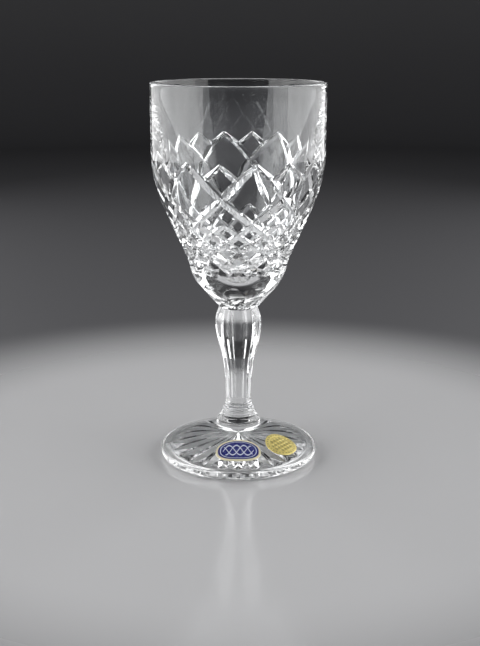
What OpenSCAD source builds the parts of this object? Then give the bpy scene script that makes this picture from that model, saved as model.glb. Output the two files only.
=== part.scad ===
// Cut crystal goblet: a blown bowl on a drawn stem, a collar and a round foot, with two foil labels.
// Z is up, and the origin is the middle of the foot's resting face.
// Azimuth 0 is the front, on -Y, and it grows towards +X.

/* [Bowl] */
// Height of the bowl, from its joint with the stem to the rim
bowl_h = 93.5; // [90:0.5:100]
// Diameter over the rim and the plain band
rim_d = 72; // [69:0.5:76]
// Thickness of the glass at the rim
rim_wall = 1.2; // [1:0.1:1.6]
// Height of the plain band, from the rim down to the tips of the cuts
band_h = 29; // [26:0.5:32]
// Height of the cut zone
cut_h = 48; // [46:0.5:50]
// Diameter of the bowl where the cuts end
cut_foot_d = 40.4; // [39:0.2:41.8]
// Width over the flats under the bowl, if they went on up to the cut zone
flare_w = 44.2; // [43.4:0.2:45]
// Depth of the cavity's bottom below the cut zone
cavity_drop = 3; // [2:0.1:4]

/* [Cuts] */
// Number of long grooves that run each way round the bowl
groove_count = 8; // [7:1:9]
// Half of the width of a long groove
long_half_w = 1.75; // [1.5:0.05:2]
// Depth of a long groove
long_depth = 1.45; // [1.2:0.05:1.6]
// Half of the width of a short groove
short_half_w = 1.45; // [1.2:0.05:1.6]
// Depth of a short groove
short_depth = 1.25; // [1:0.05:1.4]

/* [Stem] */
// Number of flats on the stem and under the bowl
flat_count = 10; // [8:2:12]
// Height of the stem, from the collar to the bowl
stem_h = 42; // [39:0.5:45]
// Width over the flats at the swelling of the stem
stem_w = 18.8; // [17.8:0.1:19.8]
// Width over the flats where the stem meets the bowl
stem_top_w = 15.6; // [15:0.1:16]
// Width over the flats where the stem meets the collar
stem_foot_w = 10.4; // [9.8:0.1:10.6]

/* [Collar] */
// Height of the collar, from the foot to the stem
collar_h = 10.3; // [9.5:0.1:11]
// Diameter of the collar on the foot
collar_d = 19.4; // [18.6:0.1:20.2]
// Diameter of the collar's neck under the stem
neck_d = 11.4; // [11.2:0.1:12]
// Diameter of the fine beads round the collar
bead_d = 0.9; // [0.6:0.1:1.2]

/* [Foot] */
// Diameter of the foot
foot_d = 68; // [65:0.5:71]
// Height of the foot, from the table to the collar
foot_h = 14.2; // [13:0.1:15]
// Height of the upper corner of the foot's edge
edge_h = 4.4; // [3.8:0.1:5]
// Width of the rounded corner on top of the edge
edge_round = 1.2; // [0.8:0.1:1.6]
// Width of the rounded corner under the edge
heel_round = 2.4; // [1.8:0.1:3]
// Diameter of the recess under the foot, inside the resting ring
recess_d = 57.6; // [56:0.2:59]
// Depth of that recess
recess_depth = 0.5; // [0.3:0.1:0.7]
// Number of rays in the star under the foot
ray_count = 24; // [20:2:28]
// Diameter over the points of the star
star_d = 55; // [52:0.5:56]
// Depth of the star at its middle
star_depth = 4.5; // [3.5:0.1:5]
// Diameter over the notches between the rays
star_waist_d = 40; // [37:0.5:43]

/* [Labels] */
// Length of the blue label, round the foot
blue_l = 19; // [17:0.5:20]
// Width of the blue label, seen from above
blue_w = 11.6; // [10.5:0.1:12.5]
// Width of the foil rim that shows round the blue face
blue_rim = 0.9; // [0.6:0.1:1.2]
// Length of the gold label, round the foot
gold_l = 15; // [13:0.5:16]
// Width of the gold label, seen from above
gold_w = 12.4; // [11:0.1:13]
// Distance from the axis to the middle of the blue label
blue_r = 21.6; // [21:0.1:22]
// Distance from the axis to the middle of the gold label
gold_r = 22.6; // [22:0.1:23]
// Azimuth of the gold label, from the front
gold_turn = 54; // [48:1:60]
// Thickness of the label foil
foil_t = 0.2; // [0.15:0.01:0.3]
// Thickness of the printed face on the foil
face_t = 0.12; // [0.1:0.01:0.2]

/* [Hidden] */

$fn = 96;

// Heights of the joints between the pieces
collar_z = foot_h;
stem_z = collar_z + collar_h;
bowl_z = stem_z + stem_h;
rim_z = bowl_z + bowl_h;
cut_top_z = rim_z - band_h;
cut_foot_z = cut_top_z - cut_h;
cavity_z = cut_foot_z - cavity_drop;

rim_r = rim_d / 2;
cut_foot_r = cut_foot_d / 2;
cavity_r = rim_r - rim_wall;
foot_r = foot_d / 2;
half_turn = 180;
whole_turn = 2 * half_turn;

// Steps in a free curve, and in a rounded corner
curve_steps = 16;
corner_steps = 6;
// One overrun for all cuts
overrun = 1;
// The cut skin starts this far inside the plain surface beside it, and laps under it by twice the lap
skin_step = 0.05;
skin_lap = 0.25;
// The solid that cuts the star reaches this far into the recess below it
star_lap = 0.1;
// Gap between a label and the glass, filled by its glue
glue_gap = 0.05;

// Corners of the control polygons, as shares of the sizes that each curve spans
cut_controls_shares = [[0, 0], [0.06, 0.18], [1, 0.62], [1, 1]];
base_controls_shares = [[0, 0], [0.28, 0.16], [0.84, 0.62], [1, 1]];
cavity_controls_shares = [[0, 0], [0.57, 0], [0.97, 0.67], [1, 1]];
foot_controls_shares = [[0, 1], [0.35, 0.6], [0.72, 0.25], [1, 0]];
collar_controls_shares = [[1, 0], [0.98, 0.36], [0.06, 0.34], [0, 1]];

// Swelling of the stem: share of its height, and share of the width at its swelling
stem_swell_shares = [[0.06, 0.56], [0.2, 0.58], [0.34, 0.625], [0.46, 0.7], [0.58, 0.835], [0.7, 0.95],
    [0.8, 1], [0.88, 0.985], [0.95, 0.91]];

// Height of each row of crossings in the cut zone, as a share of that zone from its top
row_shares = [0, 0.15, 0.3, 0.415, 0.515, 0.605, 0.69, 0.775, 0.855, 0.93, 1];

// Height of each bead round the collar, as a share of the collar
bead_shares = [0.46, 0.66];

// Exponent of the labels' ovals: 2 is an ellipse, and more is squarer
blue_oval_power = 2.4;
gold_oval_power = 2.1;
oval_steps = 48;

crystal = "lightcyan";
royal_blue = "mediumblue";
foil_gold = "goldenrod";

// Point at t, from 0 to 1, on the cubic curve of four control points
function cubic(p, t) =
    pow(1 - t, 3) * p[0] + 3 * pow(1 - t, 2) * t * p[1] + 3 * (1 - t) * t * t * p[2] + pow(t, 3) * p[3];

// Control points from their shares of the box between two corners
function spread(shares, low, high) =
    [for (s = shares) [low.x + s.x * (high.x - low.x), low.y + s.y * (high.y - low.y)]];

function curve(controls) = [for (i = [0:curve_steps]) cubic(controls, i / curve_steps)];

// Quarter circle round a centre, from one angle on, in the direction of dir
function corner(centre, r, from, dir = 1) =
    [for (i = [0:corner_steps]) let (a = from + dir * i / corner_steps * half_turn / 2)
        [centre.x + r * cos(a), centre.y + r * sin(a)]];

// Outer line of the bowl in the cut zone, from its foot up, as [r, z]
cut_line = curve(spread(cut_controls_shares, [cut_foot_r, cut_foot_z], [rim_r, cut_top_z]));

// Outer line of the bowl from the stem to the cut zone
joint_r = stem_top_w / 2 / cos(half_turn / flat_count);
base_line = curve(spread(base_controls_shares, [joint_r, bowl_z], [cut_foot_r, cut_foot_z]));

// Wall of the cavity, from its bottom up
cavity_line = curve(spread(cavity_controls_shares, [0, cavity_z], [cavity_r, rim_z - rim_wall / 2]));

// Top of the foot, from the collar out to the edge
foot_line = curve(spread(foot_controls_shares, [collar_d / 2, edge_h], [foot_r - edge_round, foot_h]));

// Lookup table from height to radius in the cut zone
cut_radius_at = [for (p = cut_line) [p.y, p.x]];

// The cutting is a lattice of two families of lines that wind down the bowl in opposite directions.
// Lines of both families are numbered, with four to each pitch: the middle of a groove, its near
// shoulder, halfway, and the far shoulder of the next groove. Even pitches start at a long groove.
pitch = half_turn / groove_count;
lines_per_pitch = 4;
line_count = 2 * groove_count * lines_per_pitch;
row_count = len(row_shares) - 1;
row_turn = pitch / 2;
level_count = row_count * lines_per_pitch;
// Azimuth of the line that carries the first tip, from the front
tip_turn = pitch / 2;
// Place of each line within its pitch, before widths are set
nominal_shares = [0, 0.2, 0.5, 0.8];
// Turn over which a long groove runs out to its tip, and a cut runs out at the foot of the zone
tip_run = 0.7 * row_turn;
foot_run = 0.4 * row_turn;
// A groove's width falls to this share at its tip
tip_w_share = 0.2;
// The short grooves leave out the rows between these two
bare_rows = [1, 4];
// Widest that a groove's half may be, as a share of the pitch
widest_share = 0.42;
radian = half_turn / PI;

function height_at_turn(turn) =
    cut_top_z - cut_h * lookup(turn / row_turn, [for (k = [0:row_count]) [k, row_shares[k]]]);
function radius_at_turn(turn) = lookup(height_at_turn(turn), cut_radius_at);
// Outward lean of the bowl's surface at a height, as degrees from upright
function lean_at(z) =
    atan2(lookup(z + skin_lap, cut_radius_at) - lookup(z - skin_lap, cut_radius_at), 2 * skin_lap);

function clamped(x) = max(0, min(1, x));
function is_middle(i) = i % lines_per_pitch == 0;
function is_long(i) = floor(i / lines_per_pitch) % 2 == 0;
function nominal_turn(i) = pitch * (floor(i / lines_per_pitch) + nominal_shares[i % lines_per_pitch]);
function tip_fade(turn) = clamped(turn / tip_run);
function foot_fade(turn) = clamped((row_count * row_turn - turn) / foot_run);
function short_fade(turn) =
    turn <= bare_rows[0] * row_turn
        ? tip_fade(turn) * clamped((bare_rows[0] * row_turn - turn) / foot_run + 1 / 2)
        : clamped((turn - bare_rows[1] * row_turn) / foot_run);

// Half width of the groove that starts or ends a pitch, as a share of the pitch
function half_share(long, turn) =
    let (gap = radius_at_turn(turn) * pitch / radian * sqrt(1 / 2))
    min(widest_share, (long ? long_half_w : short_half_w) / gap * max(tip_w_share, tip_fade(turn)));

// Place of a line once the grooves have their real width
function line_turn(i, turn) =
    let (k = i % lines_per_pitch, near = half_share(is_long(i), turn), far = half_share(!is_long(i), turn))
    pitch * (floor(i / lines_per_pitch) + (k == 0 ? 0 : k == 1 ? near : k == 2 ? 1 / 2 : 1 - far));

// Depth of the cutting on a line, which is zero off the middle of a groove
function line_depth(i, turn) =
    !is_middle(i) ? 0 : is_long(i) ? long_depth * tip_fade(turn) * foot_fade(turn)
        : short_depth * short_fade(turn) * foot_fade(turn);

// Point of the cut skin where line i of one family meets line j of the other
function skin_point(i, j) =
    let (
        nominal = (nominal_turn(i) - nominal_turn(j)) / 2,
        u = line_turn(i, nominal),
        v = line_turn(j, nominal),
        turn = max(0, min(row_count * row_turn, (u - v) / 2)),
        azimuth = (u + v) / 2 + tip_turn,
        z = height_at_turn(turn),
        depth = max(line_depth(i, nominal), line_depth(j, nominal), skin_step),
        lean = lean_at(z),
        r = lookup(z, cut_radius_at) - depth * cos(lean)
    )
    [r * sin(azimuth), -r * cos(azimuth), z + depth * sin(lean) * clamped(foot_fade(turn) * tip_fade(turn))];

// Level 0 holds the tips, and each level down pairs line j with line j plus the level
function skin_index(level, j) = (level + 1) * line_count + (j + line_count) % line_count;
function ring(points, dz) = [for (p = points) [p.x, p.y, p.z + dz]];

function quad(level, j) =
    let (
        left = skin_index(level, j),
        low = skin_index(level + 1, j),
        right = skin_index(level, j + 1),
        high = skin_index(level - 1, j + 1),
        i = (j + level) % lines_per_pitch,
        k = j % lines_per_pitch,
        last = lines_per_pitch - 1
    )
    (i == last && k == 0) || (i == 0 && k == last)
        ? [[left, high, low], [high, right, low]]
        : [[left, high, right], [left, right, low]];

// The cut zone of the bowl as one solid, lapped into the plain glass above and below it
module cut_zone() {
    levels = [for (level = [0:level_count]) [for (j = [0:line_count - 1]) skin_point(j + level, j)]];
    columns = [0:line_count - 1];
    points = concat(
        ring(levels[0], 2 * skin_lap),
        [for (level = levels) for (p = level) p],
        ring(levels[level_count], -2 * skin_lap)
    );
    faces = concat(
        [[for (j = columns) skin_index(-1, line_count - 1 - j)]],
        [for (j = columns) [skin_index(-1, j), skin_index(-1, j + 1), skin_index(0, j + 1)]],
        [for (j = columns) [skin_index(-1, j), skin_index(0, j + 1), skin_index(0, j)]],
        [for (j = columns) [skin_index(0, j), skin_index(0, j + 1), skin_index(1, j)]],
        [for (level = [1:level_count - 1]) for (j = columns) for (face = quad(level, j)) face],
        [for (j = columns) [skin_index(level_count, j), skin_index(level_count - 1, j + 1),
            skin_index(level_count, j + 1)]],
        [for (j = columns) [skin_index(level_count, j), skin_index(level_count, j + 1),
            skin_index(level_count + 1, j + 1)]],
        [for (j = columns) [skin_index(level_count, j), skin_index(level_count + 1, j + 1),
            skin_index(level_count + 1, j)]],
        [[for (j = columns) skin_index(level_count + 1, j)]]
    );
    polyhedron(points, faces);
}

// A solid with flats all round, whose half width over the flats follows a line of [half width, z]
module flatted(line) {
    outline = concat(line, [for (i = [len(line) - 1:-1:0]) [-line[i].x, line[i].y]]);
    intersection_for(i = [0:flat_count / 2 - 1])
        rotate([0, 0, (i + 1 / 2) * whole_turn / flat_count + tip_turn - half_turn / 2])
            rotate([half_turn / 2, 0, 0])
                linear_extrude(height = rim_d, center = true)
                    polygon(outline);
}

module band() {
    low = cut_top_z + skin_lap;
    rotate_extrude()
        polygon(concat(
            [[0, low], [rim_r, low]],
            corner([rim_r - rim_wall / 2, rim_z - rim_wall / 2], rim_wall / 2, 0),
            [[0, rim_z]]
        ));
}

// Plain glass under the cut zone, with the flats that lead down to the stem
module bowl_base() {
    high = cut_foot_z - skin_lap;
    intersection() {
        rotate_extrude()
            polygon(concat(
                [[0, bowl_z]],
                [for (p = base_line) if (p.y < high) p],
                [[cut_foot_r, high], [0, high]]
            ));
        flatted([[stem_top_w / 2, bowl_z], [flare_w / 2, cut_foot_z]]);
    }
}

module cavity() {
    lip = rim_r - rim_wall / 2;
    rotate_extrude()
        polygon(concat(
            cavity_line,
            corner([lip, rim_z - rim_wall / 2], rim_wall / 2, half_turn, -1),
            [[lip, rim_z + overrun], [0, rim_z + overrun]]
        ));
}

module bowl() {
    color(crystal)
        difference() {
            union() {
                band();
                cut_zone();
                bowl_base();
            }
            cavity();
        }
}

module stem() {
    line = concat(
        [[stem_foot_w / 2, stem_z]],
        [for (s = stem_swell_shares) [s[1] * stem_w / 2, stem_z + s[0] * stem_h]],
        [[stem_top_w / 2, bowl_z]]
    );
    color(crystal) flatted(line);
}

module foot_collar() {
    skirt = curve(spread(collar_controls_shares, [neck_d / 2, collar_z], [collar_d / 2, stem_z]));
    skirt_radius_at = [for (p = skirt) [p.y, p.x]];
    color(crystal)
        rotate_extrude() {
            polygon(concat([[0, collar_z]], skirt, [[0, stem_z]]));
            for (share = bead_shares) {
                bead_z = collar_z + share * collar_h;
                translate([lookup(bead_z, skirt_radius_at), bead_z]) circle(d = bead_d);
            }
        }
}

// The star under the foot as one pointed solid: rays out to the tips, with a ridge between each pair.
// It reaches a little way into the recess, so its outline there is drawn that much larger.
module star() {
    drop = star_depth - recess_depth;
    spread_share = (drop + star_lap) / drop;
    outline = [for (i = [0:2 * ray_count - 1])
        let (r = (i % 2 == 0 ? star_d : star_waist_d) / 2 * spread_share, a = i * half_turn / ray_count)
        [r * sin(a), -r * cos(a), recess_depth - star_lap]];
    last = len(outline) - 1;
    polyhedron(
        concat(outline, [[0, 0, star_depth]]),
        concat(
            [[for (i = [0:last]) i]],
            [for (i = [0:last]) [(i + 1) % len(outline), i, len(outline)]]
        )
    );
}

module foot() {
    edge = concat(
        corner([foot_r - edge_round, edge_h - edge_round], edge_round, half_turn / 2, -1),
        corner([foot_r - heel_round, heel_round], heel_round, 0, -1)
    );
    recess = [[recess_d / 2, 0], [recess_d / 2, recess_depth], [0, recess_depth]];
    color(crystal)
        difference() {
            rotate_extrude() polygon(concat([[0, foot_h]], foot_line, edge, recess));
            star();
        }
}

// Oval outline of a label, longest along X
function oval(l, w, power) =
    [for (i = [0:oval_steps - 1]) let (a = i * whole_turn / oval_steps, c = cos(a), s = sin(a))
        [sign(c) * l / 2 * pow(abs(c), 2 / power), sign(s) * w / 2 * pow(abs(s), 2 / power)]];

// Layer that lies over the top of the foot, from a height above it, cut to an oval at a place on it
module foot_layer(gap, t, outline, r, azimuth) {
    intersection() {
        rotate_extrude()
            polygon(concat(
                [for (p = foot_line) [p.x, p.y + gap]],
                [for (i = [len(foot_line) - 1:-1:0]) [foot_line[i].x, foot_line[i].y + gap + t]]
            ));
        rotate([0, 0, azimuth]) translate([0, -r, 0]) linear_extrude(height = foot_h + overrun) polygon(outline);
    }
}

module blue_label_foil() {
    color(foil_gold) foot_layer(glue_gap, foil_t, oval(blue_l, blue_w, blue_oval_power), blue_r, 0);
}

module blue_label_face() {
    inner = oval(blue_l - 2 * blue_rim, blue_w - 2 * blue_rim, blue_oval_power);
    color(royal_blue) foot_layer(glue_gap + foil_t, face_t, inner, blue_r, 0);
}

module gold_label() {
    color(foil_gold) foot_layer(glue_gap, foil_t, oval(gold_l, gold_w, gold_oval_power), gold_r, gold_turn);
}

bowl();
stem();
foot_collar();
foot();
blue_label_foil();
blue_label_face();
gold_label();
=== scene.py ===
import math

import bpy
import numpy as np
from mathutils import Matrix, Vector


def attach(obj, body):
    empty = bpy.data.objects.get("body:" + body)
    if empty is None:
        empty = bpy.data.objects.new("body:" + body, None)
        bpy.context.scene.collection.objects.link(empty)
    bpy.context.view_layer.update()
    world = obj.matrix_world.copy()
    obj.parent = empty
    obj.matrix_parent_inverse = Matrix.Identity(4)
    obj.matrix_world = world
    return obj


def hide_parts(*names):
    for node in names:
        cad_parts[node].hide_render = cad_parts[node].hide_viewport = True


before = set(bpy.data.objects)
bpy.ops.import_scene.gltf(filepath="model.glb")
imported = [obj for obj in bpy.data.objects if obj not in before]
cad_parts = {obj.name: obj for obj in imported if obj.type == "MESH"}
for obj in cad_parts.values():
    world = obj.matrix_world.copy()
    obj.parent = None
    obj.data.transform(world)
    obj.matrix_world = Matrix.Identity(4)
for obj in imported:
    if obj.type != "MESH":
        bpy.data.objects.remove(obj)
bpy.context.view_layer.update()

# Shapes are built in millimetres, in the frame's axes, and put into Blender in metres.
# Azimuth 0 is the front, on -Y, and it grows towards +X.
MM = 0.001
RNG = np.random.default_rng(11)

# Sizes of the part, as in its source
RIM_Z, RIM_R, RIM_WALL = 160.0, 36.0, 1.2
CUT_TOP_Z, CUT_FOOT_Z, CUT_FOOT_R = 131.0, 83.0, 20.2
BOWL_Z, STEM_Z, COLLAR_Z = 66.5, 24.5, 14.2
CAVITY_Z, CAVITY_R = 80.0, 34.8
FLATS = 10
FLARE_W, STEM_W, STEM_TOP_W, STEM_FOOT_W = 44.2, 18.8, 15.6, 10.4
COLLAR_D, NECK_D, BEAD_R = 19.4, 11.4, 0.45
FOOT_R, EDGE_H, EDGE_ROUND, HEEL_ROUND = 34.0, 4.4, 1.2, 2.4
RECESS_R, RECESS_DEPTH = 28.8, 0.5
RAYS, STAR_R, STAR_DEPTH = 24, 27.5, 4.5
BLUE_R, GOLD_R, GOLD_TURN = 21.6, 22.6, 54
BLUE_FOIL, BLUE_FACE, GOLD = (19, 11.6, 2.4), (17.2, 9.8, 2.4), (15, 12.4, 2.1)
GLUE_GAP, FOIL_T, FACE_T = 0.05, 0.2, 0.12

# Azimuth of the first tip of the cutting, and of the first edge between two flats
TIP_TURN = 11.25
# The wheel leaves each flat of the stem a little hollow, by this share of half its width, and the
# edges between flats are rounded by STEM_SOFT, which falls to STEM_LEAST at both ends of the stem
STEM_HOLLOW, STEM_SOFT, STEM_LEAST = 0.16, 0.32, 0.004
# Slope of the walls of the star's rays, and shares of a ray's length with its depth at each of them.
# The depth at the star's middle comes from STAR_DEPTH.
STAR_SLOPE = 0.5
STAR_SHARES, STAR_DEPTHS = [0.18, 0.44, 0.73, 0.91, 0.98, 1], [3.1, 2.0, 1.35, 0.9, 0.4, 0]
# Heights of the beads round the collar, as shares of it
BEAD_SHARES = (0.46, 0.66)
# Unevenness of the cavity's wall: each wave's height, its count round the bowl, the rise for each
# radian of it, and its phase
CAVITY_WAVES = ((0.05, 2, 17, 0), (0.035, 3, -11, 2), (0.02, 5, 7, 1))

# Beads round the gold label, and the size of the lozenges inside them
BEADS, LOZENGE = 26, 1.9
# Heights of the gold label's ridges, beads and lozenges
RIDGE_RISE, BEAD_RISE, LOZENGE_RISE = 0.05, 0.13, 0.11
# Places of the ridges and beads as shares of the label's size, with their half widths, and the share
# at which the lozenges end, with the length of their fade
RIDGES_AT, RIDGE_HALF = (0.95, 0.76), 0.018
BEADS_AT, BEADS_HALF = 0.855, 0.05
FIELD_END, FIELD_FADE = 0.72, 0.06


# Curves and point tools

def cubic(shares, low, high, steps):
    """Points of a cubic curve whose control points are shares of the box between two corners."""
    t = np.linspace(0, 1, steps)[:, None]
    low, high = np.array(low, float), np.array(high, float)
    p = low + np.array(shares, float) * (high - low)
    return (1 - t) ** 3 * p[0] + 3 * (1 - t) ** 2 * t * p[1] + 3 * (1 - t) * t * t * p[2] + t ** 3 * p[3]


def smooth(xs, ys):
    """A curve through points that never overshoots them, as a function; straight beyond its ends."""
    xs, ys = np.array(xs, float), np.array(ys, float)
    step = np.diff(xs)
    rise = np.diff(ys) / step
    slope = np.zeros(len(xs))
    same = rise[:-1] * rise[1:] > 0
    total = np.where(same, rise[:-1] + rise[1:], 1)
    slope[1:-1] = np.where(same, 2 * rise[:-1] * rise[1:] / total, 0)
    slope[0], slope[-1] = rise[0], rise[-1]

    def at(x):
        inside = np.clip(x, xs[0], xs[-1])
        i = np.clip(np.searchsorted(xs, inside, side="right") - 1, 0, len(step) - 1)
        t = (inside - xs[i]) / step[i]
        y = ((2 * t ** 3 - 3 * t ** 2 + 1) * ys[i] + (t ** 3 - 2 * t ** 2 + t) * step[i] * slope[i]
             + (3 * t ** 2 - 2 * t ** 3) * ys[i + 1] + (t ** 3 - t ** 2) * step[i] * slope[i + 1])
        before = np.where(x < xs[0], (x - xs[0]) * slope[0], 0)
        beyond = np.where(x > xs[-1], (x - xs[-1]) * slope[-1], 0)
        return y + before + beyond

    return at


def around(r, azimuth, z):
    """Points at a radius, an azimuth in degrees and a height."""
    a = np.radians(azimuth)
    return np.stack(np.broadcast_arrays(r * np.sin(a), -r * np.cos(a), z), axis=-1)


def eased(x):
    """Share from 0 to 1 that starts fast and ends level, as a round wheel leaves the glass."""
    x = np.clip(x, 0, 1)
    return 1 - (1 - x) ** 2


class Shell:
    """A closed mesh put together from rings of points, from one pole to the other."""

    def __init__(self):
        self.points, self.faces, self.slots = [], [], []

    def add(self, points):
        first = len(self.points)
        self.points.extend(np.asarray(points, float).reshape(-1, 3).tolist())
        return np.arange(first, len(self.points))

    def face(self, corners, slot=0):
        self.faces.append([int(c) for c in corners])
        self.slots.append(slot)

    def bridge(self, a, b):
        for k in range(len(a)):
            n = (k + 1) % len(a)
            self.face((a[k], a[n], b[n], b[k]))

    def cap(self, ring, pole, opens_up, slot=0):
        for k in range(len(ring)):
            n = (k + 1) % len(ring)
            self.face((ring[k], ring[n], pole) if opens_up else (ring[n], ring[k], pole), slot)

    def profile(self, rings):
        """Bridges rings in order, and gives the indices of each."""
        placed = [self.add(r) for r in rings]
        for ring, following in zip(placed, placed[1:]):
            self.bridge(ring, following)
        return placed

    def build(self, name, materials, slot, nodes, sharp=20):
        mesh = bpy.data.meshes.new(name)
        mesh.from_pydata([[c * MM for c in p] for p in self.points], [], self.faces)
        for material in materials:
            mesh.materials.append(material)
        mesh.polygons.foreach_set("material_index", self.slots)
        mesh.polygons.foreach_set("use_smooth", [True] * len(self.faces))
        mesh.set_sharp_from_angle(angle=math.radians(sharp))
        mesh.validate()
        mesh.update()
        obj = bpy.data.objects.new(name, mesh)
        bpy.context.scene.collection.objects.link(obj)
        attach(obj, "root")
        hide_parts(*nodes)


# Outlines that several pieces share

CUT_LINE = cubic([[0, 0], [0.06, 0.18], [1, 0.62], [1, 1]],
                 [CUT_FOOT_R, CUT_FOOT_Z], [RIM_R, CUT_TOP_Z], 400)
JOINT_R = STEM_TOP_W / 2 / math.cos(math.pi / FLATS)
BASE_LINE = cubic([[0, 0], [0.28, 0.16], [0.84, 0.62], [1, 1]],
                  [JOINT_R, BOWL_Z], [CUT_FOOT_R, CUT_FOOT_Z], 200)
FOOT_LINE = cubic([[0, 1], [0.35, 0.6], [0.72, 0.25], [1, 0]], [COLLAR_D / 2, EDGE_H],
                  [FOOT_R - EDGE_ROUND, COLLAR_Z], 200)
BOWL_LINE = np.vstack([BASE_LINE[:-1], CUT_LINE, [[RIM_R, RIM_Z]]])


def bowl_radius(z):
    return np.interp(z, BOWL_LINE[:, 1], BOWL_LINE[:, 0])


def flare_half(z):
    return np.interp(z, [BOWL_Z, CUT_FOOT_Z], [STEM_TOP_W / 2, FLARE_W / 2])


def foot_top(r):
    return np.interp(r, FOOT_LINE[:, 0], FOOT_LINE[:, 1])


def off_flat(azimuth):
    """Degrees between an azimuth and the middle of the flat it is on."""
    sector = 360 / FLATS
    return (azimuth - TIP_TURN) % sector - sector / 2


# Cutting of the bowl. Two families of grooves wind down it in opposite directions, one pitch apart.
# Each pitch has thirteen lines: the middle of a groove, its wall, the flat table, and the next
# groove's wall. Even pitches start at a long groove. Their places make the ridges where two grooves
# cross run through the corners of the mesh.
GROOVES = 8
PITCH = 180 / GROOVES
LINES, TABLE_LINES = 13, 5
COLUMNS = 2 * GROOVES * LINES
ROW_SHARES = [0, 0.15, 0.3, 0.415, 0.515, 0.605, 0.69, 0.775, 0.855, 0.93, 1]
ROWS = len(ROW_SHARES) - 1
ROW_TURN = PITCH / 2
LEVELS = ROWS * LINES
LONG_DEPTH, SHORT_DEPTH = 1.45, 1.25
WALL_SLOPE = 0.84
TIP_RUN, FOOT_RUN = 0.7 * ROW_TURN, 0.25 * ROW_TURN
BARE_ROWS = (1, 4)
GROOVE_WANDER = 0.2
# Least and greatest half widths of the short and long grooves, as shares of the gap between them
SHORT_HALVES, LONG_MORE, LONG_MOST = (0.03, 0.4), 0.02, 0.44
# Step up and down at which the bowl's lean is taken
LEAN_STEP = 0.25
# Halvings that find where two surfaces meet
HALVINGS = 40

height_at_turn = smooth([k * ROW_TURN for k in range(ROWS + 1)],
                        [CUT_TOP_Z - (CUT_TOP_Z - CUT_FOOT_Z) * s for s in ROW_SHARES])


def cut_skin():
    """Points of the cut surface by level and column, and the depth that each family gives there."""
    turn = np.arange(LEVELS + 1)[:, None] * ROW_TURN / LINES
    tip = eased(turn / TIP_RUN)
    end = eased((ROWS * ROW_TURN - turn) / FOOT_RUN)
    near_tip = tip * eased((BARE_ROWS[0] * ROW_TURN - turn) / FOOT_RUN + 0.5)
    lower = eased((turn - BARE_ROWS[1] * ROW_TURN) / FOOT_RUN)
    long_depth = LONG_DEPTH * tip * end
    short_depth = SHORT_DEPTH * np.where(turn < 2 * ROW_TURN, near_tip, lower) * end
    gap = bowl_radius(height_at_turn(turn)) * math.radians(PITCH) * math.sqrt(0.5)
    short_half = np.clip(short_depth / WALL_SLOPE / gap, *SHORT_HALVES)
    long_half = np.clip(long_depth / WALL_SLOPE / gap, short_half + LONG_MORE, LONG_MOST)

    lead, third = long_half - short_half, short_half / 3
    table = 1 - short_half - long_half
    even = [0 * lead, lead, lead + third, lead + 2 * third, long_half]
    even += [long_half + table * m / (TABLE_LINES + 1) for m in range(1, TABLE_LINES + 1)]
    even += [1 - short_half, 1 - 2 * third, 1 - third]
    even = np.hstack(even)
    odd = np.hstack([0 * lead, 1 - even[:, :0:-1]])

    wander = RNG.uniform(-GROOVE_WANDER, GROOVE_WANDER, (2, 2 * GROOVES))

    def family(line, strays):
        pitch, k = line // LINES, line % LINES
        level = np.arange(LEVELS + 1)[:, None]
        is_even = pitch % 2 == 0
        share = np.where(is_even, even[level, k], odd[level, k])
        here, there = strays[pitch % len(strays)], strays[(pitch + 1) % len(strays)]
        place = PITCH * (pitch + share) + here * (1 - share) + there * share
        near = np.where(is_even, long_depth, short_depth) - WALL_SLOPE * share * gap
        far = np.where(is_even, short_depth, long_depth) - WALL_SLOPE * (1 - share) * gap
        return place, np.maximum(0, np.maximum(near, far))

    column = np.arange(COLUMNS)[None, :] + 0 * np.arange(LEVELS + 1)[:, None]
    level = np.arange(LEVELS + 1)[:, None] + 0 * column
    u, u_depth = family(column + level, wander[0])
    v, v_depth = family(column, wander[1])
    z = height_at_turn((u - v) / 2)
    depth = np.maximum(u_depth, v_depth)
    lean = np.arctan2(bowl_radius(z + LEAN_STEP) - bowl_radius(z - LEAN_STEP), 2 * LEAN_STEP)
    azimuth = (u + v) / 2 + TIP_TURN
    skin = around(bowl_radius(z) - depth * np.cos(lean), azimuth, z + depth * np.sin(lean))
    return skin, azimuth, u_depth, v_depth


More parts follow.
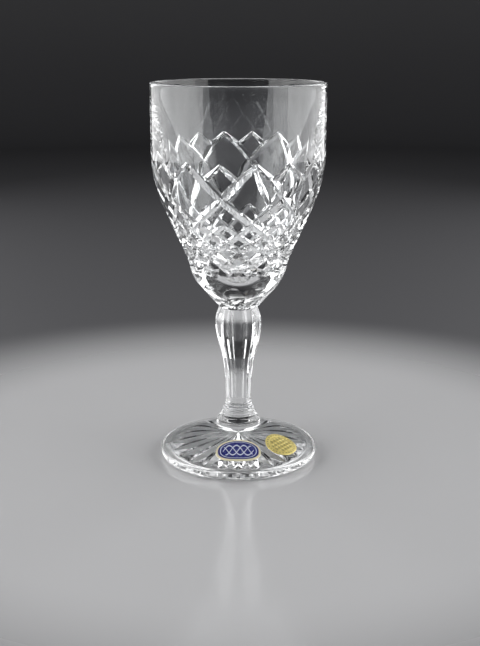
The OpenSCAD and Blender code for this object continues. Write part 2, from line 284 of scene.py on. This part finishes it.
def build_bowl():
    shell = Shell()
    skin, azimuth, u_depth, v_depth = cut_skin()
    even_turn = 360 / COLUMNS * np.arange(COLUMNS)
    foot_turn = TIP_TURN + ROWS * ROW_TURN + even_turn
    top_turn = TIP_TURN + even_turn

    # From the joint with the stem up to the flats' upper edge, then round glass up to the cutting.
    # The columns are moved a little there, so that each edge between two flats has one to itself.
    edges = TIP_TURN + 360 / FLATS * np.arange(-1, 2 * FLATS)
    nearest = np.round((edges - foot_turn[0]) * COLUMNS / 360)
    base_turn = np.interp(np.arange(COLUMNS), nearest, edges)
    spread = np.cos(np.radians(off_flat(base_turn)))
    low, high = np.full(COLUMNS, BOWL_Z + 1), np.full(COLUMNS, CUT_FOOT_Z - 1)
    for _ in range(HALVINGS):
        middle = (low + high) / 2
        inside = flare_half(middle) / spread < bowl_radius(middle)
        low, high = np.where(inside, middle, low), np.where(inside, high, middle)
    edge_z = (low + high) / 2
    rings = []
    for t in np.linspace(0, 1, 27) ** 0.85:
        z = BOWL_Z + t * (edge_z - BOWL_Z)
        rings.append(around(np.minimum(flare_half(z) / spread, bowl_radius(z)), base_turn, z))
    round_z = CUT_FOOT_Z - 2.2
    for t in np.linspace(0, 1, 5)[1:]:
        z = edge_z + t * (round_z - edge_z)
        rings.append(around(bowl_radius(z), base_turn + t * (foot_turn - base_turn), z))
    for t in (0.35, 0.7):
        z = round_z + t * (skin[LEVELS, :, 2] - round_z)
        turn = foot_turn + t * t * (azimuth[LEVELS] - foot_turn)
        rings.append(around(bowl_radius(z), turn, z))
    placed = shell.profile(rings)
    shell.cap(placed[0], shell.add([[0, 0, BOWL_Z]])[0], False, 1)

    # The cut zone
    index = shell.add(skin).reshape(LEVELS + 1, COLUMNS)
    shell.bridge(placed[-1], index[LEVELS])
    after = np.roll(np.arange(COLUMNS), -1)
    depth = np.maximum(u_depth, v_depth)
    for level in range(LEVELS + 1):
        for j in range(COLUMNS):
            n = after[j]
            left, right = index[level, j], index[level, n]
            if level == 0:
                shell.face((left, index[1, j], right))
            elif level == LEVELS:
                shell.face((left, right, index[level - 1, n]))
            else:
                top, low = index[level - 1, n], index[level + 1, j]
                true = max(u_depth[level, j] + u_depth[level, n], v_depth[level, j] + v_depth[level, n])
                across = abs(depth[level, j] + depth[level, n] - true)
                along = abs(depth[level - 1, n] + depth[level + 1, j] - true)
                if across <= along:
                    shell.face((left, low, right))
                    shell.face((left, right, top))
                else:
                    shell.face((left, low, top))
                    shell.face((low, right, top))

    # The plain band, the rim and the cavity
    rings = []
    for rise, t in ((1.6, 0.2), (3.4, 0.5), (5.6, 0.8), (8.2, 1), (12, 1), (16, 1), (20, 1), (24, 1)):
        z = CUT_TOP_Z + rise
        rings.append(around(RIM_R, azimuth[0] + t * (top_turn - azimuth[0]), z))
    lip = RIM_WALL / 2
    for a in np.radians(np.linspace(0, 180, 11)):
        rings.append(around(RIM_R - lip + lip * math.cos(a), top_turn, RIM_Z - lip + lip * math.sin(a)))
    wall = cubic([[0, 0], [0.57, 0], [0.97, 0.67], [1, 1]],
                 [0, CAVITY_Z], [CAVITY_R, RIM_Z - lip], 57)[1:-1]
    around_wall = np.radians(top_turn)
    for r, z in wall[::-1]:
        # The waves fade out over the last 20 mm to the rim and 12 mm to the axis
        hang = np.clip((RIM_Z - z) / 20, 0, 1) * np.clip(r / 12, 0, 1)
        wave = sum(high * np.sin(count * around_wall + z / rise + phase)
                   for high, count, rise, phase in CAVITY_WAVES)
        rings.append(around(r + hang * wave, top_turn, z))
    placed = shell.profile(rings)
    shell.bridge(index[0], placed[0])
    shell.cap(placed[-1], shell.add([[0, 0, CAVITY_Z]])[0], True)
    return shell


STEM_SWELL = [(0, STEM_FOOT_W / STEM_W), (0.06, 0.56), (0.2, 0.58), (0.34, 0.625), (0.46, 0.7), (0.58, 0.835),
              (0.7, 0.95), (0.8, 1), (0.88, 0.985), (0.95, 0.91), (1, STEM_TOP_W / STEM_W)]


def build_stem():
    """Flats that follow the baluster's swelling, with slightly softened edges between them."""
    shell = Shell()
    half_at = smooth([s for s, _ in STEM_SWELL], [w * STEM_W / 2 for _, w in STEM_SWELL])
    half_sector = math.pi / FLATS
    rings = []
    for share in np.linspace(0, 1, 76):
        half = float(half_at(share))
        soft = STEM_SOFT * float(eased(share / 0.04) * eased((1 - share) / 0.04)) + STEM_LEAST
        flat = (half - soft) * math.tan(half_sector)
        hollow = STEM_HOLLOW * flat
        section = []
        for s in range(FLATS):
            middle = math.radians(TIP_TURN) + half_sector * (2 * s + 1)
            for y in np.linspace(-flat, flat, 8):
                section.append((middle, half - hollow * (1 - (y / flat) ** 2), y))
            for k in range(1, 4):
                a = half_sector * 2 * k / 4
                section.append((middle, half - soft + soft * math.cos(a), flat + soft * math.sin(a)))
        z = STEM_Z + share * (BOWL_Z - STEM_Z)
        rings.append([[out * math.sin(middle) + side * math.cos(middle),
                       -out * math.cos(middle) + side * math.sin(middle), z]
                      for middle, out, side in section])
    placed = shell.profile(rings)
    shell.cap(placed[0], shell.add([[0, 0, STEM_Z]])[0], False, 1)
    shell.cap(placed[-1], shell.add([[0, 0, BOWL_Z]])[0], True, 1)
    return shell


def build_collar():
    """The turned merese: an ogee skirt with two fine beads round it."""
    shell = Shell()
    columns = 12 * FLATS
    turn = TIP_TURN + 360 / columns * np.arange(columns)
    skirt = cubic([[1, 0], [0.98, 0.36], [0.06, 0.34], [0, 1]],
                  [NECK_D / 2, COLLAR_Z], [COLLAR_D / 2, STEM_Z], 160)
    line = [skirt[0]]
    beads = []
    for share in BEAD_SHARES:
        z = COLLAR_Z + share * (STEM_Z - COLLAR_Z)
        centre = np.array([np.interp(z, skirt[:, 1], skirt[:, 0]), z])
        k = int(np.searchsorted(skirt[:, 1], z))
        along = skirt[k + 1] - skirt[k - 1]
        beads.append((centre, math.atan2(along[1], along[0])))
    bead = 0
    for k, point in enumerate(skirt[1:-1], 1):
        if bead < len(beads):
            centre, tangent = beads[bead]
            if point[1] > centre[1]:
                for a in np.linspace(tangent - math.pi, tangent, 15):
                    line.append(centre + BEAD_R * np.array([math.cos(a), math.sin(a)]))
                bead += 1
                continue
        if all(np.hypot(*(point - c)) > BEAD_R * 1.02 for c, _ in beads) and k % 4 == 0:
            line.append(point)
    line.append(skirt[-1])
    rings = [around(r, turn, z) for r, z in line]
    rings.append(around(STEM_FOOT_W / 2 / np.cos(np.radians(off_flat(turn))), turn, STEM_Z))
    placed = shell.profile(rings)
    shell.cap(placed[0], shell.add([[0, 0, COLLAR_Z]])[0], False, 1)
    shell.cap(placed[-1], shell.add([[0, 0, STEM_Z]])[0], True, 1)
    return shell


def build_foot():
    """The foot: a low dome with a rounded edge, on a resting ring, and the star cut up into it."""
    shell = Shell()
    columns = RAYS * 12
    turn = 360 / columns * np.arange(columns)

    # Rays of the star: the cut's depth falls along each ray, and its walls slope at one angle
    ray = (turn + 180 / RAYS) % (360 / RAYS) - 180 / RAYS
    side = np.abs(np.radians(ray))
    line = smooth(STAR_R * np.array([0] + STAR_SHARES), [STAR_DEPTH - RECESS_DEPTH] + STAR_DEPTHS)

    def cut_at(r):
        return line(r * np.cos(side)) - STAR_SLOPE * r * np.sin(side)

    low, high = np.full(columns, 3.0), np.full(columns, STAR_R)
    for _ in range(HALVINGS):
        middle = (low + high) / 2
        inside = cut_at(middle) > 0
        low, high = np.where(inside, middle, low), np.where(inside, high, middle)
    star_edge = np.where(side < 1e-9, STAR_R, (low + high) / 2)

    # Rings from the star's middle out, and then down its recess, round the edge and up to the collar
    rings = []
    for t in np.linspace(0, 1, 15)[1:]:
        r = star_edge * t
        rings.append(around(r, turn, RECESS_DEPTH + np.maximum(0, cut_at(r)) * (t < 1)))
    rings.append(around(RECESS_R - 0.35, turn, RECESS_DEPTH))
    rings.append(around(RECESS_R - 0.08, turn, RECESS_DEPTH * 0.86))
    rings.append(around(RECESS_R, turn, RECESS_DEPTH * 0.5))
    rings.append(around(RECESS_R, turn, 0.0))
    for a in np.radians(np.linspace(-90, 0, 9)):
        rings.append(around(FOOT_R - HEEL_ROUND * (1 - math.cos(a)), turn, HEEL_ROUND * (1 + math.sin(a))))
    for a in np.radians(np.linspace(0, 90, 7)):
        rings.append(around(FOOT_R - EDGE_ROUND * (1 - math.cos(a)), turn,
                            EDGE_H - EDGE_ROUND * (1 - math.sin(a))))
    for r, z in FOOT_LINE[::-6][1:]:
        rings.append(around(r, turn, z))
    rings.append(around(COLLAR_D / 2, turn, COLLAR_Z))
    placed = shell.profile(rings)
    shell.cap(placed[0], shell.add([[0, 0, STAR_DEPTH]])[0], False)
    shell.cap(placed[-1], shell.add([[0, 0, COLLAR_Z]])[0], True, 1)
    return shell


def oval(l, w, power, columns):
    a = np.linspace(0, 2 * np.pi, columns, endpoint=False)
    c, s = np.cos(a), np.sin(a)
    return np.stack([np.sign(c) * l / 2 * np.abs(c) ** (2 / power),
                     np.sign(s) * w / 2 * np.abs(s) ** (2 / power)], -1)


def build_label(size, place_r, azimuth, gap, thick, relief, rows=16, columns=144):
    """A thin oval sheet that lies over the foot. relief gives the rise over its plain face, from the
    share of the oval's size, the turn round it, and the place on the flat label."""
    shell = Shell()
    outline = oval(*size, columns)
    width = size[1]
    round_turn = np.linspace(0, 2 * np.pi, columns, endpoint=False)
    a = math.radians(azimuth)
    spin = np.array([[math.cos(a), -math.sin(a)], [math.sin(a), math.cos(a)]])

    def lay(share, rise):
        flat = outline * share + [0, -place_r]
        r = np.hypot(flat[:, 0], flat[:, 1])
        xy = flat @ spin.T
        return np.column_stack([xy, foot_top(r) + gap + rise])

    def face(share):
        x, y = (outline * share).T
        return lay(share, thick + relief(share, round_turn, x, y))

    edge = 0.35 * thick
    top = [lay(1, 0.45 * thick), lay(1 - edge * 0.3 / width, 0.8 * thick)]
    top += [face(s) for s in np.linspace(1 - edge / width * 1.4, 0, rows * 3)[:-1]]
    placed = shell.profile([lay(s, 0) for s in np.linspace(0, 1, rows)[1:]] + top)
    shell.cap(placed[0], shell.add(lay(0, 0)[:1])[0], False)
    shell.cap(placed[-1], shell.add(face(0)[:1])[0], True)
    return shell


# Materials

def fresh(name):
    material = bpy.data.materials.new(name)
    material.use_nodes = True
    tree = material.node_tree
    tree.nodes.clear()
    out = tree.nodes.new("ShaderNodeOutputMaterial")
    return material, tree, out


def node(tree, kind, links=(), **values):
    """A node with its properties, its sockets' values and the links into it."""
    made = tree.nodes.new(kind)
    for key, value in values.items():
        if key.startswith("in_"):
            made.inputs[key[3:].replace("_", " ")].default_value = value
        else:
            setattr(made, key, value)
    for socket, source in dict(links).items():
        tree.links.new(source, made.inputs[socket])
    return made


def calc(tree, operation, *operands):
    """Output of a Math node, whose operands are sockets or numbers."""
    made = node(tree, "ShaderNodeMath", operation=operation)
    for k, operand in enumerate(operands):
        if isinstance(operand, (int, float)):
            made.inputs[k].default_value = operand
        else:
            tree.links.new(operand, made.inputs[k])
    return made.outputs["Value"]


def ranged(tree, value, low, high, to_low, to_high, **more):
    """Output of a Map Range node."""
    made = node(tree, "ShaderNodeMapRange", {"Value": value}, in_From_Min=low, in_From_Max=high,
                in_To_Min=to_low, in_To_Max=to_high, **more)
    return made.outputs["Result"]


def blend(tree, factor, a, b):
    """Output of a Mix node between two colours, each a value or a socket."""
    made = node(tree, "ShaderNodeMix", {"Factor": factor}, data_type="RGBA")
    for name, colour in (("A", a), ("B", b)):
        if isinstance(colour, bpy.types.NodeSocket):
            tree.links.new(colour, made.inputs[name])
        else:
            made.inputs[name].default_value = colour
    return made.outputs["Result"]


def noise(tree, where, scale, detail, roughness=0.5):
    """Output of a Noise Texture node."""
    made = node(tree, "ShaderNodeTexNoise", {"Vector": where}, in_Scale=scale, in_Detail=detail,
                in_Roughness=roughness)
    return made.outputs["Fac"]


def crystal(name, ripple, scale, wear=None):
    """Clear polished lead crystal: faint unevenness of hot-worked glass, and a trace of handling on it."""
    material, tree, out = fresh(name)
    where = node(tree, "ShaderNodeTexCoord").outputs["Object"]
    waves = noise(tree, where, scale, 2.0, 0.45)
    film = noise(tree, where, 420.0, 3.0, 0.6)
    rough = ranged(tree, film, 0.45, 0.75, 0.0, 0.035)
    if wear:
        height = node(tree, "ShaderNodeSeparateXYZ", {"Vector": where}).outputs["Z"]
        rub = ranged(tree, height, *wear, 1.0, 0.0)
        scratched = calc(tree, "MULTIPLY", rub, noise(tree, where, 2600.0, 2.0))
        total = node(tree, "ShaderNodeMath", {0: calc(tree, "MULTIPLY", scratched, 0.5), 1: rough},
                     operation="ADD", use_clamp=True)
        rough = total.outputs["Value"]
    bump = node(tree, "ShaderNodeBump", {"Height": waves}, in_Strength=ripple, in_Distance=0.0006)
    shader = node(tree, "ShaderNodeBsdfPrincipled", {"Roughness": rough, "Normal": bump.outputs["Normal"]},
                  in_Base_Color=(0.975, 0.985, 0.99, 1), in_IOR=1.545, in_Transmission_Weight=1.0)
    tree.links.new(shader.outputs["BSDF"], out.inputs["Surface"])
    return material


def fused_joint():
    """The face where two pieces of glass are fused, which can't be seen."""
    material, tree, out = fresh("fused_joint")
    shader = node(tree, "ShaderNodeBsdfTransparent", in_Color=(1, 1, 1, 1))
    tree.links.new(shader.outputs["BSDF"], out.inputs["Surface"])
    return material


def foil(name, colour, dark, grain, strength, rough, metallic, painted_shade=None):
    """Metallised label paper: bright foil with a fine grain, a little lacquer over it, and painted shade that
    darkens it along a mask, where one is given.
    """
    material, tree, out = fresh(name)
    where = node(tree, "ShaderNodeTexCoord").outputs["Object"]
    grains = noise(tree, where, grain, 4.0, 0.6)
    mixed = blend(tree, noise(tree, where, 230.0, 2.0), colour, dark)
    # Painted shade: where the mask is, the foil's colour is darkened towards a third of its dark colour
    if painted_shade:
        amount = calc(tree, "MULTIPLY", painted_shade(tree, where), 0.55)
        mixed = blend(tree, amount, mixed, [c * 0.35 for c in dark[:3]] + [1])
    level = ranged(tree, grains, 0.0, 1.0, *rough)
    bump = node(tree, "ShaderNodeBump", {"Height": grains}, in_Strength=strength, in_Distance=0.0001)
    shader = node(tree, "ShaderNodeBsdfPrincipled",
                  {"Base Color": mixed, "Roughness": level, "Normal": bump.outputs["Normal"]},
                  in_Metallic=metallic)
    tree.links.new(shader.outputs["BSDF"], out.inputs["Surface"])
    return material


def on_label(tree, where, size, place_r, azimuth):
    """Place on a flat label in millimetres, and its share of the oval's size, raised to the oval's power."""
    length, width, power = size
    level = node(tree, "ShaderNodeVectorRotate", {"Vector": where}, rotation_type="Z_AXIS",
                 in_Angle=-math.radians(azimuth))
    place = node(tree, "ShaderNodeSeparateXYZ", {"Vector": level.outputs["Vector"]})
    x = calc(tree, "DIVIDE", place.outputs["X"], MM)
    y = calc(tree, "ADD", calc(tree, "DIVIDE", place.outputs["Y"], MM), place_r)
    along = calc(tree, "POWER", calc(tree, "DIVIDE", calc(tree, "ABSOLUTE", x), length / 2), power)
    across = calc(tree, "POWER", calc(tree, "DIVIDE", calc(tree, "ABSOLUTE", y), width / 2), power)
    return x, y, calc(tree, "ADD", along, across)


def braid(tree, where):
    """Mask of a plain ornament: three crossing waves inside a fine oval line."""
    wave_l, wave_h, line = 9.4, 2.6, 0.34
    field, oval_at, oval_half = 0.52, 0.74, 0.045
    x, y, size = on_label(tree, where, BLUE_FACE, BLUE_R, 0)
    along = calc(tree, "MULTIPLY", x, 2 * math.pi / wave_l)
    waves = 0.0
    for phase in (0, 2 * math.pi / 3, 4 * math.pi / 3):
        rise = calc(tree, "MULTIPLY", calc(tree, "SINE", calc(tree, "ADD", along, phase)), wave_h)
        waves = calc(tree, "MAXIMUM", waves, calc(tree, "COMPARE", y, rise, line))
    inner = calc(tree, "MULTIPLY", waves, calc(tree, "LESS_THAN", size, field))
    return calc(tree, "MAXIMUM", inner, calc(tree, "COMPARE", size, oval_at, oval_half))


def painted_recess_shade(tree, where):
    """Mask of painted shade in the low places of the gold label's relief: between its beads, and between its
    lozenges.
    """
    x, y, size = on_label(tree, where, GOLD, GOLD_R, GOLD_TURN)
    turn = calc(tree, "ARCTAN2", calc(tree, "DIVIDE", y, GOLD[1]), calc(tree, "DIVIDE", x, GOLD[0]))
    gaps = calc(tree, "LESS_THAN", calc(tree, "COSINE", calc(tree, "MULTIPLY", turn, BEADS)), 0.0)
    row = calc(tree, "MULTIPLY", gaps, calc(tree, "COMPARE", size, 0.72, 0.09))
    one = calc(tree, "COSINE", calc(tree, "MULTIPLY", calc(tree, "ADD", x, y), math.pi / LOZENGE))
    other = calc(tree, "COSINE", calc(tree, "MULTIPLY", calc(tree, "SUBTRACT", x, y), math.pi / LOZENGE))
    low = calc(tree, "LESS_THAN", calc(tree, "MULTIPLY", one, other), -0.15)
    return calc(tree, "MAXIMUM", row, calc(tree, "MULTIPLY", low, calc(tree, "LESS_THAN", size, 0.46)))


def blue_print():
    material, tree, out = fresh("blue_print")
    where = node(tree, "ShaderNodeTexCoord").outputs["Object"]
    cloud = noise(tree, where, 900.0, 3.0)
    ground = blend(tree, cloud, (0.006, 0.01, 0.13, 1), (0.012, 0.022, 0.22, 1))
    mixed = blend(tree, braid(tree, where), ground, (0.66, 0.7, 0.82, 1))
    level = ranged(tree, cloud, 0.0, 1.0, 0.2, 0.34)
    bump = node(tree, "ShaderNodeBump", {"Height": cloud}, in_Strength=0.15, in_Distance=0.00005)
    shader = node(tree, "ShaderNodeBsdfPrincipled",
                  {"Base Color": mixed, "Roughness": level, "Normal": bump.outputs["Normal"]}, in_IOR=1.5)
    tree.links.new(shader.outputs["BSDF"], out.inputs["Surface"])
    return material


joint = fused_joint()
bowl_glass = crystal("bowl_crystal", 0.06, 60.0)
stem_glass = crystal("stem_crystal", 0.05, 90.0)
collar_glass = crystal("collar_crystal", 0.05, 120.0)
foot_glass = crystal("foot_crystal", 0.07, 70.0, wear=(0.0, 0.0008))
pale_foil = foil("pale_gold_foil", (1.0, 0.95, 0.72, 1), (0.95, 0.86, 0.56, 1), 5200.0, 0.3, (0.3, 0.5), 0.6)
# The gold foil is darkened by painted shade in the recesses of its relief
gold_foil = foil("gold_foil", (1.0, 0.86, 0.34, 1), (0.97, 0.8, 0.25, 1), 3600.0, 0.5, (0.22, 0.38), 0.6,
                 painted_recess_shade)

build_bowl().build("crystal_bowl", [bowl_glass, joint], "crystal", ["bowl"])
build_stem().build("crystal_stem", [stem_glass, joint], "crystal", ["stem"])
build_collar().build("crystal_collar", [collar_glass, joint], "crystal", ["foot_collar"])
build_foot().build("crystal_foot", [foot_glass, joint], "crystal", ["foot"])


def no_relief(share, turn, x, y):
    return 0.0


def gold_relief(share, turn, x, y):
    """Two fine ridges with a row of beads between them, round a field of small lozenges."""
    ridges = RIDGE_RISE * sum(math.exp(-((share - at) / RIDGE_HALF) ** 2) for at in RIDGES_AT)
    row = BEAD_RISE * math.exp(-((share - BEADS_AT) / BEADS_HALF) ** 2) * (0.5 + 0.5 * np.cos(BEADS * turn))
    field = np.cos(math.pi * (x + y) / LOZENGE) * np.cos(math.pi * (x - y) / LOZENGE)
    return ridges + row + LOZENGE_RISE * np.maximum(0, field) * eased((FIELD_END - share) / FIELD_FADE)


build_label(BLUE_FOIL, BLUE_R, 0, GLUE_GAP, FOIL_T, no_relief).build(
    "blue_label_rim", [pale_foil], "pale_gold_foil", ["blue_label_foil"], sharp=40)
build_label(BLUE_FACE, BLUE_R, 0, GLUE_GAP + FOIL_T, FACE_T, no_relief).build(
    "blue_label_print", [blue_print()], "blue_print", ["blue_label_face"], sharp=40)
build_label(GOLD, GOLD_R, GOLD_TURN, GLUE_GAP, FOIL_T, gold_relief, rows=24, columns=304).build(
    "gold_seal", [gold_foil], "gold_foil", ["gold_label"], sharp=40)


# Floor, backdrop, light and camera

# Radius at which the floor starts to turn up, radius of that turn, and height of the wall, in metres
FLOOR_END, WALL_ROUND, WALL_H = 1.3, 0.3, 1.5
# Film of air between the foot's ring and the floor, which keeps their faces apart
FLOOR_GAP = 0.03
# The floor is pale and polished near the goblet, and fades to a dull dark grey between two distances
# from it, in metres. The grey goes on up the wall.
FLOOR_PALE, FLOOR_DARK, FLOOR_FADE = (0.62, 0.62, 0.63, 1), (0.09, 0.09, 0.096, 1), (0.13, 0.24)
FLOOR_POLISH, FLOOR_DULL = 0.14, 0.6


def stage():
    """A floor that is pale near the goblet and dark beyond, and turns up into a wall on all sides."""
    line = [(0.02, 0.0), (0.3, 0.0), (0.8, 0.0), (FLOOR_END, 0.0)]
    for a in np.radians(np.linspace(0, 90, 17)[1:]):
        line.append((FLOOR_END + WALL_ROUND * math.sin(a), WALL_ROUND * (1 - math.cos(a))))
    line.append((FLOOR_END + WALL_ROUND, WALL_H))
    columns = 128
    turn = 360 / columns * np.arange(columns)
    points = [[0, 0, 0]]
    for r, z in line:
        points.extend(around(r, turn, z).tolist())
    faces = [(0, 1 + k, 1 + (k + 1) % columns) for k in range(columns)]
    for ring in range(len(line) - 1):
        for k in range(columns):
            n = (k + 1) % columns
            low, high = 1 + ring * columns, 1 + (ring + 1) * columns
            faces.append((low + k, high + k, high + n, low + n))
    mesh = bpy.data.meshes.new("floor")
    mesh.from_pydata(points, [], faces)
    mesh.polygons.foreach_set("use_smooth", [True] * len(faces))
    obj = bpy.data.objects.new("floor", mesh)
    obj.location = (0, 0, -FLOOR_GAP * MM)
    bpy.context.scene.collection.objects.link(obj)
    material, tree, out = fresh("floor_paper")
    where = node(tree, "ShaderNodeTexCoord").outputs["Object"]
    far = node(tree, "ShaderNodeVectorMath", {0: where}, operation="LENGTH")
    share = ranged(tree, far.outputs["Value"], *FLOOR_FADE, 0.0, 1.0, interpolation_type="SMOOTHSTEP")
    shader = node(tree, "ShaderNodeBsdfPrincipled", {
        "Base Color": blend(tree, share, FLOOR_PALE, FLOOR_DARK),
        "Roughness": ranged(tree, share, 0.0, 1.0, FLOOR_POLISH, FLOOR_DULL)})
    tree.links.new(shader.outputs["BSDF"], out.inputs["Surface"])
    mesh.materials.append(material)


def area(name, place, target, size, power):
    light = bpy.data.lights.new(name, "AREA")
    light.shape = "RECTANGLE"
    light.size, light.size_y = size
    light.energy = power
    obj = bpy.data.objects.new(name, light)
    bpy.context.scene.collection.objects.link(obj)
    obj.location = place
    obj.visible_camera = False
    obj.rotation_euler = (Vector(target) - Vector(place)).to_track_quat("-Z", "Y").to_euler()


stage()
# Lamps: name, azimuth from the front, distance, height, size, and brightness seen from the glass.
# Tall panels stand on both sides, from beside the camera round to behind, as in the photograph.
PANEL_H, PANEL_Z = 0.7, 0.37
LAMPS = (
    ("front_l", -54, 0.8, PANEL_Z, (0.28, PANEL_H), 2.4), ("front_r", 54, 0.8, PANEL_Z, (0.28, PANEL_H), 1.7),
    ("fore_l", -75, 0.8, PANEL_Z, (0.31, PANEL_H), 3.2), ("fore_r", 75, 0.8, PANEL_Z, (0.31, PANEL_H), 3.2),
    ("side_l", -100, 0.8, PANEL_Z, (0.4, PANEL_H), 2.6), ("side_r", 100, 0.8, PANEL_Z, (0.4, PANEL_H), 2.6),
    ("back_l", -131, 0.8, PANEL_Z, (0.48, PANEL_H), 2.2), ("back_r", 131, 0.8, PANEL_Z, (0.48, PANEL_H), 2.2),
    ("strip", 180, 0.6, 0.8, (0.3, 0.35), 0.4),
    ("above", 0, 0.02, 1.2, (0.8, 0.8), 1.2),
)
for name, azimuth, distance, height, size, strength in LAMPS:
    turn = math.radians(azimuth)
    place = (distance * math.sin(turn), -distance * math.cos(turn), height)
    aim = (0, 0, min(height, PANEL_Z))
    area(name, place, aim, size, strength * math.pi * size[0] * size[1])

world = bpy.data.worlds.new("studio")
world.use_nodes = True
bpy.context.scene.world = world
tree = world.node_tree
tree.nodes.clear()
out = tree.nodes.new("ShaderNodeOutputWorld")
sky = node(tree, "ShaderNodeBackground", in_Color=(0.02, 0.02, 0.022, 1), in_Strength=1.0)
tree.links.new(sky.outputs["Background"], out.inputs["Surface"])

# Camera, fitted to the photograph by the ellipses of rim and foot
lens = bpy.data.cameras.new("camera")
lens.lens = 60.35
lens.sensor_width = 36
lens.clip_start = 0.01
camera = bpy.data.objects.new("camera", lens)
bpy.context.scene.collection.objects.link(camera)
camera.location = (0.0007, -0.4487, 0.1804)
camera.rotation_mode = "XYZ"
camera.rotation_euler = (math.radians(74.85), 0, 0)
bpy.context.scene.camera = camera

scene = bpy.context.scene
scene.view_settings.view_transform = "Standard"
# Bounces enough for light that goes in and out of several pieces of glass
scene.cycles.max_bounces = 24
scene.cycles.transmission_bounces = 24
scene.cycles.glossy_bounces = 12
scene.cycles.transparent_max_bounces = 24
scene.cycles.diffuse_bounces = 3
scene.cycles.sample_clamp_indirect = 8.0
scene.cycles.blur_glossy = 0.3
